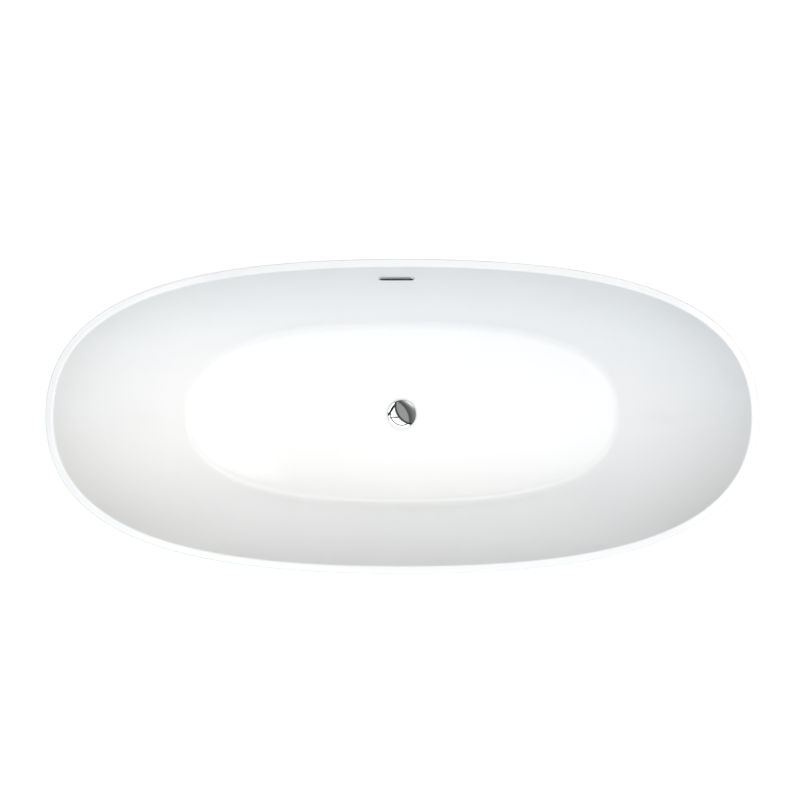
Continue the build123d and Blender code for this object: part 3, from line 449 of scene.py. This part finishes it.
floor_edge = floor_centre - FLOOR_RADIUS * UP
tub_rows = [circle_row(tub_columns, WASTE_HOLE, FLOOR_Z - RECESS_DEPTH),
            circle_row(tub_columns, RECESS, FLOOR_Z - RECESS_DEPTH),
            circle_row(tub_columns, RECESS, FLOOR_Z)]
tub_rows += blend_rows(tub_rows[-1], floor_edge, FLOOR_ROWS)
tub_rows += arc(floor_centre, FLOOR_RADIUS, -UP, -foot_normal, FLOOR_ARC_ROWS)
inside_start = len(tub_rows) - 1
tub_rows += [wall(tub_columns, floor_t + (rim_t - floor_t) * q)[0] for q in shares[1:]]
tub_rows += arc(rim_centre, RIM_IN_RADIUS, rim_normal, UP, RIM_IN_ROWS)[1:]
edge_normal = outline_normals(tub_columns, HALF_LENGTH, HALF_WIDTH)
edge_row = oval_row(tub_columns, HALF_LENGTH, HALF_WIDTH, HEIGHT - RIM_OUT_RADIUS)
edge_centre = edge_row - RIM_OUT_RADIUS * edge_normal
edge_arc = arc(edge_centre, RIM_OUT_RADIUS, UP, edge_normal, RIM_OUT_ROWS)
tub_rows += blend_rows(tub_rows[-1], edge_arc[0], RIM_ROWS)
tub_rows += edge_arc
tub_rows += [oval_row(tub_columns, HALF_LENGTH, HALF_WIDTH, HEIGHT - SHELL + RIM_LOW_BEVEL),
             oval_row(tub_columns, HALF_LENGTH - RIM_LOW_BEVEL, HALF_WIDTH - RIM_LOW_BEVEL, HEIGHT - SHELL)]
outside_start = len(tub_rows)
for q in reversed(shares):
    wall_point, wall_normal = wall(tub_columns, floor_t + (back_t - floor_t) * q)
    tub_rows.append(wall_point - SHELL * wall_normal)
tub_rows += arc(floor_centre, FLOOR_RADIUS + SHELL, -foot_normal, -UP, UNDER_ARC_ROWS)[1:]
under_hole = circle_row(tub_columns, WASTE_HOLE, FLOOR_Z - SHELL)
tub_rows += blend_rows(tub_rows[-1], under_hole, UNDER_ROWS) + [under_hole]

# Row i of the inside lies opposite row mirror_row - i of the back
low_row = inside_start + shares.index(patch_shares[0])
high_row = inside_start + shares.index(patch_shares[-1])
mirror_row = inside_start + outside_start + len(shares) - 1
back_high, back_low = mirror_row - high_row, mirror_row - low_row
left_column, right_column = back_column(patch_left), back_column(patch_right)


def clear_of_patch(i, j):
    in_rows = low_row <= i < high_row or back_high <= i < back_low
    return not (in_rows and right_column <= j < left_column)


tub_faces = loop_faces(len(tub_rows), tub_width, clear_of_patch)
patch_loop = [(low_row, j) for j in range(right_column, left_column)]
patch_loop += [(i, left_column) for i in range(low_row, high_row)]
patch_loop += [(high_row, j) for j in range(left_column, right_column, -1)]
patch_loop += [(i, right_column) for i in range(high_row, low_row, -1)]
tub_points = np.array(tub_rows).reshape(-1, 3)
front_ids = [i * tub_width + j for i, j in patch_loop]
back_ids = [(mirror_row - i) * tub_width + j for i, j in patch_loop]

# Round the slot, the wall runs from the square patch left open above to the rounded hole
across = tub_points[front_ids, 0] - SLOT_X
upward = (tub_points[front_ids, 2] - SLOT_Z) / lean_cos
straight_x = np.clip(across, -SLOT_STRAIGHT, SLOT_STRAIGHT)
shrink = HOLE_RADIUS / np.hypot(across - straight_x, upward)
hole_x = SLOT_X + straight_x + (across - straight_x) * shrink
hole_z = SLOT_Z + upward * shrink * lean_cos
hole_point, hole_normal = back_wall(hole_x, hole_z)
first_hole = len(tub_points)
loop_length = len(patch_loop)
tub_points = np.concatenate([tub_points, hole_point, hole_point - SHELL * hole_normal])
for k in range(loop_length):
    n = (k + 1) % loop_length
    front_k, front_n = first_hole + k, first_hole + n
    back_k, back_n = front_k + loop_length, front_n + loop_length
    tub_faces.append((front_ids[k], front_ids[n], front_n, front_k))
    tub_faces.append((front_k, front_n, back_n, back_k))
    tub_faces.append((back_k, back_n, back_ids[n], back_ids[k]))
inner = make_object("tub_shell", tub_points, tub_faces, ACRYLIC)
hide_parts("inner_tub")
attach(inner, "tub")


# Skirt: one closed shell with a turned-in flange at its top and a rounded bottom edge

skirt_columns = outline_columns()


def skirt_row(share, inset):
    """Row of the skirt at a share of its height, at an inset from its outside."""
    a, da = bowed(HALF_LENGTH - SKIRT_END_RUN, SKIRT_END_RUN, SKIRT_END_BULGE, share)
    b, db = bowed(HALF_WIDTH - SKIRT_SIDE_RUN, SKIRT_SIDE_RUN, SKIRT_SIDE_BULGE, share)
    a -= inset * math.hypot(1, da / SKIRT_TALL)
    b -= inset * math.hypot(1, db / SKIRT_TALL)
    return oval_row(skirt_columns, a, b, SKIRT_BOTTOM + SKIRT_TALL * share)


foot_share = SKIRT_FOOT_RADIUS / SKIRT_TALL
outside_top = 1 - SKIRT_TOP_BEVEL / SKIRT_TALL
inside_top = (SKIRT_TOP - SKIRT_FLANGE - SKIRT_BOTTOM) / SKIRT_TALL
flange_a, flange_b = HALF_LENGTH - SKIRT_FLANGE_WIDTH, HALF_WIDTH - SKIRT_FLANGE_WIDTH
bevel_a, bevel_b = HALF_LENGTH - SKIRT_TOP_BEVEL, HALF_WIDTH - SKIRT_TOP_BEVEL
skirt_rows = [skirt_row(s, 0) for s in np.linspace(outside_top, foot_share, SKIRT_OUTSIDE_ROWS)]
for q in np.radians(np.linspace(0, 90, SKIRT_FOOT_ROWS)[1:]):
    skirt_rows.append(skirt_row(foot_share * (1 - math.sin(q)), SKIRT_FOOT_RADIUS * (1 - math.cos(q))))
skirt_rows += [skirt_row(s, SKIRT) for s in np.linspace(0, inside_top, SKIRT_INSIDE_ROWS)]
skirt_rows += [oval_row(skirt_columns, flange_a, flange_b, SKIRT_TOP - SKIRT_FLANGE),
               oval_row(skirt_columns, flange_a, flange_b, SKIRT_TOP),
               oval_row(skirt_columns, bevel_a, bevel_b, SKIRT_TOP)]
skirt = rows_object("skirt_shell", skirt_rows[::-1], ACRYLIC)
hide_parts("outer_skirt")
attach(skirt, "tub")


# Plug cap: a shallow dome

cap_top = CAP_BOTTOM + CAP_EDGE + CAP_RISE
dome = (CAP_RADIUS**2 + CAP_RISE**2) / (2 * CAP_RISE)
dome_edge = CAP_RADIUS - CAP_ROUND
dome_radii = np.linspace(0, dome_edge, DOME_ROWS)
cap_profile = [(r, cap_top - dome + math.sqrt(dome**2 - r**2)) for r in dome_radii]
round_z = cap_profile[-1][1] - CAP_ROUND
for q in np.radians(np.linspace(0, 90, CAP_ROUND_ROWS)[1:]):
    cap_profile.append((dome_edge + CAP_ROUND * math.sin(q), round_z + CAP_ROUND * math.cos(q)))
cap_profile += [(CAP_RADIUS, CAP_BOTTOM + CAP_BEVEL),
                (CAP_RADIUS - CAP_BEVEL_MIDDLE, CAP_BOTTOM + CAP_BEVEL_MIDDLE),
                (CAP_RADIUS - CAP_BEVEL, CAP_BOTTOM),
                (BOSS_RADIUS, CAP_BOTTOM), (BOSS_RADIUS, CAP_BOTTOM - BOSS_LENGTH),
                (BORE_RADIUS, CAP_BOTTOM - BOSS_LENGTH), (BORE_RADIUS, CAP_BOTTOM + BORE_END),
                (0, CAP_BOTTOM + BORE_END)]
cap = lathe("plug_cap_dome", cap_profile, CHROME)
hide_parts("plug_cap")
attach(cap, "plug")


# Overflow trim: a rounded lip round the slot, with a sleeve through the wall


def slot_ring(radius, rise):
    """A stadium along the slot, at a rise from the back wall towards the inside."""
    flat = []
    for side in (1, -1):
        for q in np.linspace(-math.pi / 2, math.pi / 2, SLOT_END_POINTS):
            flat.append((side * (SLOT_STRAIGHT + radius * math.cos(q)), side * radius * math.sin(q)))
    x, v = np.array(flat).T
    y = slot_y + v * lean_sin - rise * lean_cos
    z = SLOT_Z + v * lean_cos + rise * lean_sin
    return np.stack([SLOT_X + x, y, z], 1)


lip_profile = [(SLOT_RADIUS, SLEEVE_BACK)]
lip_profile += [(SLOT_RADIUS + inward, LIP_TOP - down) for inward, down in LIP_INNER_EDGE]
lip_profile += [(LIP_RADIUS - inward, LIP_TOP - down) for inward, down in LIP_OUTER_EDGE]
lip_profile += [(LIP_RADIUS, LIP_BASE), (SLEEVE_RADIUS, LIP_BASE), (SLEEVE_RADIUS, SLEEVE_BACK)]
lip_rings = [slot_ring(radius, rise) for radius, rise in lip_profile]
trim = rows_object("overflow_lip", lip_rings, CHROME)
trim.data.materials.append(PAINTED_SHADE_CHROME)
# The inside of the sleeve, between the first two rings, lies in shade; the darker chrome there is painted
# shade
for face in trim.data.polygons:
    in_sleeve = face.index < len(lip_rings[0])
    face.material_index = 1 if in_sleeve else 0
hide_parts("overflow_trim")
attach(trim, "tub")


# Camera straight above, a little behind and left of the middle of the tub

CAMERA_ABOVE_RIM = 2.643
camera = bpy.data.objects.new("camera", bpy.data.cameras.new("camera"))
bpy.context.scene.collection.objects.link(camera)
camera.data.lens = 50.0
camera.data.sensor_width = 36.0
camera.data.clip_end = 100.0
camera.location = (-0.0055, 0.0392, HEIGHT + CAMERA_ABOVE_RIM)
camera.rotation_euler = (0, 0, 0)
bpy.context.scene.camera = camera


# Pale floor, which the camera and reflections see near white but which still takes the shadow.
# For the camera it is brighter where it lies far from the lamps

GROUND_SIZE = 60.0
GROUND_Z = -0.0005
NEAR, FAR = 1.6, 6.0
NEAR_GLOW = 0.68
FAR_GLOW = 1.0
MIRRORED_GLOW = 0.6
floor_material = bpy.data.materials.new("studio_floor")
floor_material.use_nodes = True
floor_tree = floor_material.node_tree
floor_shader = floor_tree.nodes["Principled BSDF"]
floor_shader.inputs["Base Color"].default_value = (0.5, 0.5, 0.5, 1)
floor_shader.inputs["Roughness"].default_value = 0.9
floor_shader.inputs["Specular IOR Level"].default_value = 0.0
floor_shader.inputs["Emission Color"].default_value = (1, 1, 1, 1)
floor_spot = add_node(floor_tree, "TexCoord").outputs["Object"]
from_middle = add_node(floor_tree, "VectorMath", {0: floor_spot}, operation="LENGTH").outputs["Value"]
floor_glow = add_node(floor_tree, "MapRange", {
    "Value": from_middle, "From Min": NEAR, "From Max": FAR, "To Min": NEAR_GLOW, "To Max": FAR_GLOW,
}, interpolation_type="SMOOTHSTEP").outputs["Result"]
floor_rays = add_node(floor_tree, "LightPath").outputs
straight_rays = math_node(floor_tree, "MULTIPLY", floor_rays["Is Camera Ray"], floor_glow)
mirrored_rays = math_node(floor_tree, "MAXIMUM", floor_rays["Is Glossy Ray"],
                          floor_rays["Is Transmission Ray"])
floor_level = math_node(floor_tree, "MULTIPLY_ADD", mirrored_rays, MIRRORED_GLOW, straight_rays)
floor_tree.links.new(floor_level, floor_shader.inputs["Emission Strength"])
bpy.ops.mesh.primitive_plane_add(size=GROUND_SIZE, location=(0, 0, GROUND_Z))
ground = bpy.context.object
ground.name = "studio_ground"
ground.data.materials.append(floor_material)


# Studio surroundings: an even fill for matt light, and for the camera and reflections a white room whose
# ceiling has a pattern. Places on the ceiling are given from the point straight above, as shares of its height

LOWEST_RISE = 0.05
world = bpy.data.worlds.new("studio")
bpy.context.scene.world = world
world.use_nodes = True
sky = world.node_tree
sky.nodes.clear()
heading = add_node(sky, "SeparateXYZ", {0: add_node(sky, "TexCoord").outputs["Generated"]}).outputs
rise_z = math_node(sky, "MAXIMUM", heading["Z"], LOWEST_RISE)
ceiling = add_node(sky, "CombineXYZ", {
    "X": math_node(sky, "DIVIDE", heading["X"], rise_z),
    "Y": math_node(sky, "DIVIDE", heading["Y"], rise_z),
}).outputs[0]


def ceiling_node(operation, x, y):
    return add_node(sky, "VectorMath", {0: ceiling, 1: (x, y, 0.0)}, operation=operation).outputs["Value"]


def distance_from(x, y):
    """Distance on the ceiling from a place."""
    return ceiling_node("DISTANCE", x, y)


def distance_along(x, y):
    """Distance on the ceiling in a direction."""
    return ceiling_node("DOT_PRODUCT", x, y)


def grey(level):
    return (level, level, level, 1)


def level_ramp(value, low, high, stops):
    """Grey levels along a value between low and high."""
    spread = add_node(sky, "MapRange", {"Value": value, "From Min": low, "From Max": high})
    scaled = [((place - low) / (high - low), grey(level)) for place, level in stops]
    return color_ramp(sky, spread.outputs["Result"], scaled)


def mixed(factor, first, second, how="MIX"):
    """The first colour where factor is 0, and the second, or their product, where it is 1."""
    inputs = {"Factor": factor, "A": first, "B": second}
    return add_node(sky, "Mix", inputs, data_type="RGBA", blend_type=how).outputs["Result"]


def product(first, second):
    return mixed(1.0, first, second, "MULTIPLY")


# A grey panel lies between two arcs with dark edges. Right of it the ceiling is dark up to a bright corner,
# and left of it is a bright window with dark bars and a dark border
panel_left = distance_from(0.354, 0.232)
panel_right = distance_from(-0.423, -0.211)
overhead = distance_from(0.0, 0.0)
panel = level_ramp(panel_right, 0.4, 1.0, [(0.590, 0.51), (0.625, 0.13), (0.68, 0.19), (0.78, 0.35)])
corner = level_ramp(distance_along(0.6, 0.8), 0.2, 0.4, [(0.25, 0.0), (0.30, 0.2), (0.35, 1.0)])
panel = mixed(corner, panel, grey(1.9))
bar = level_ramp(distance_along(-0.833, 0.551), 0.2, 0.4,
                 [(0.244, 1.0), (0.254, 0.02), (0.304, 0.02), (0.314, 1.0)])
rail = level_ramp(distance_along(0.10, -0.995), -0.1, 0.3,
                  [(0.058, 1.0), (0.070, 0.08), (0.088, 0.08), (0.100, 1.0)])
border = level_ramp(overhead, 0.2, 0.4, [(0.278, 1.0), (0.290, 0.02), (0.312, 0.02), (0.324, 1.0)])
window_glow = level_ramp(overhead, 0.0, 0.6, [(0.19, 0.42), (0.27, 0.8)])
window = product(product(product(product(bar, rail), border), window_glow), grey(4.0))
beyond = level_ramp(panel_left, 0.4, 0.7, [(0.535, 0.0), (0.555, 1.0)])
panel_edge = level_ramp(panel_left, 0.4, 0.7, [(0.485, 1.0), (0.505, 0.2), (0.540, 0.16), (0.556, 1.0)])
pattern = product(mixed(beyond, panel, window), panel_edge)

# Round that, the ceiling is dark, with a bright strip to the front and a brighter one to the back, and the
# walls are white
strips = level_ramp(distance_along(0.0, 1.0), -0.6, 1.4, [
    (-0.48, 0.03), (-0.42, 0.6), (-0.28, 0.6), (-0.18, 0.18), (0.03, 0.18), (0.10, 0.02), (0.56, 0.02),
    (0.68, 1.0), (1.10, 0.9),
])
walls = level_ramp(overhead, 0.0, 4.0, [(1.6, 0.0), (2.6, 1.0)])
surroundings = mixed(walls, product(strips, grey(3.3)), grey(1.0))
in_pattern = level_ramp(overhead, 0.2, 0.8, [(0.37, 1.0), (0.41, 0.0)])
room = add_node(sky, "Background", {"Color": mixed(in_pattern, surroundings, pattern), "Strength": 1.0})
fill = add_node(sky, "Background", {"Color": (1, 0.80, 0.68, 1), "Strength": 0.080})
sky_rays = add_node(sky, "LightPath").outputs
seen = math_node(sky, "MAXIMUM", sky_rays["Is Camera Ray"], sky_rays["Is Glossy Ray"])
seen = math_node(sky, "MAXIMUM", seen, sky_rays["Is Transmission Ray"])
sky_mix = add_node(sky, "MixShader", {"Fac": seen, 1: fill.outputs[0], 2: room.outputs[0]})
add_node(sky, "OutputWorld", {"Surface": sky_mix.outputs[0]})


# Lamps


def softbox(name, location, target, size, power, color=(1, 1, 1), mirrored=False, receivers=None):
    """A lamp that reflections show only where it is mirrored, and that lights all or only its receivers."""
    lamp = bpy.data.objects.new(name, bpy.data.lights.new(name, "AREA"))
    bpy.context.scene.collection.objects.link(lamp)
    lamp.data.shape = "RECTANGLE"
    lamp.data.size, lamp.data.size_y = size
    lamp.data.energy = power
    lamp.data.color = color
    lamp.location = location
    lamp.rotation_mode = "QUATERNION"
    lamp.rotation_quaternion = (Vector(target) - Vector(location)).to_track_quat("-Z", "Y")
    lamp.visible_glossy = mirrored
    lamp.visible_camera = False
    lamp.light_linking.receiver_collection = receivers


MIDDLE = (0.0, 0.0, 0.4)
softbox("top_light", (-0.3, -0.2, 4.2), (-0.3, -0.2, 0.3), (5.0, 4.0), 115.0, (1.0, 0.987, 0.945))
softbox("front_light", (0.0, -3.4, 3.2), MIDDLE, (3.0, 2.0), 30.0, (0.55, 0.88, 1.0))
softbox("front_high_light", (0.0, -2.1, 4.2), MIDDLE, (4.4, 1.5), 44.0, (0.83, 0.85, 1.0))
softbox("back_high_light", (0.0, 2.6, 4.2), MIDDLE, (4.0, 1.2), 28.0, (0.84, 0.92, 1.0))
softbox("right_light", (3.8, 0.0, 3.0), MIDDLE, (2.0, 2.0), 28.0, (1.0, 0.92, 0.78), mirrored=True)
softbox("right_high_light", (2.4, 0.0, 4.2), MIDDLE, (1.6, 1.6), 22.0, (0.92, 0.92, 0.97), mirrored=True)
softbox("left_light", (-3.8, 0.0, 3.0), MIDDLE, (2.0, 2.0), 10.0, (0.67, 0.88, 0.96), mirrored=True)

# Low lamps that light only the skirt
skirt_only = bpy.data.collections.new("skirt_only")
skirt_only.objects.link(skirt)
LONG_LOW, SHORT_LOW = (3.0, 0.4), (1.6, 0.4)
softbox("front_low_light", (0.0, -2.6, 0.30), (0.0, -0.35, 0.28), LONG_LOW, 27.0, (1.0, 0.96, 0.92),
        receivers=skirt_only)
softbox("back_low_light", (0.0, 2.6, 0.30), (0.0, 0.35, 0.28), LONG_LOW, 32.0, receivers=skirt_only)
softbox("left_low_light", (-3.0, 0.0, 0.30), (-0.8, 0.0, 0.28), SHORT_LOW, 10.0, receivers=skirt_only)
softbox("right_low_light", (3.0, 0.0, 0.30), (0.8, 0.0, 0.28), SHORT_LOW, 10.0, receivers=skirt_only)

bpy.context.scene.view_settings.view_transform = "Standard"
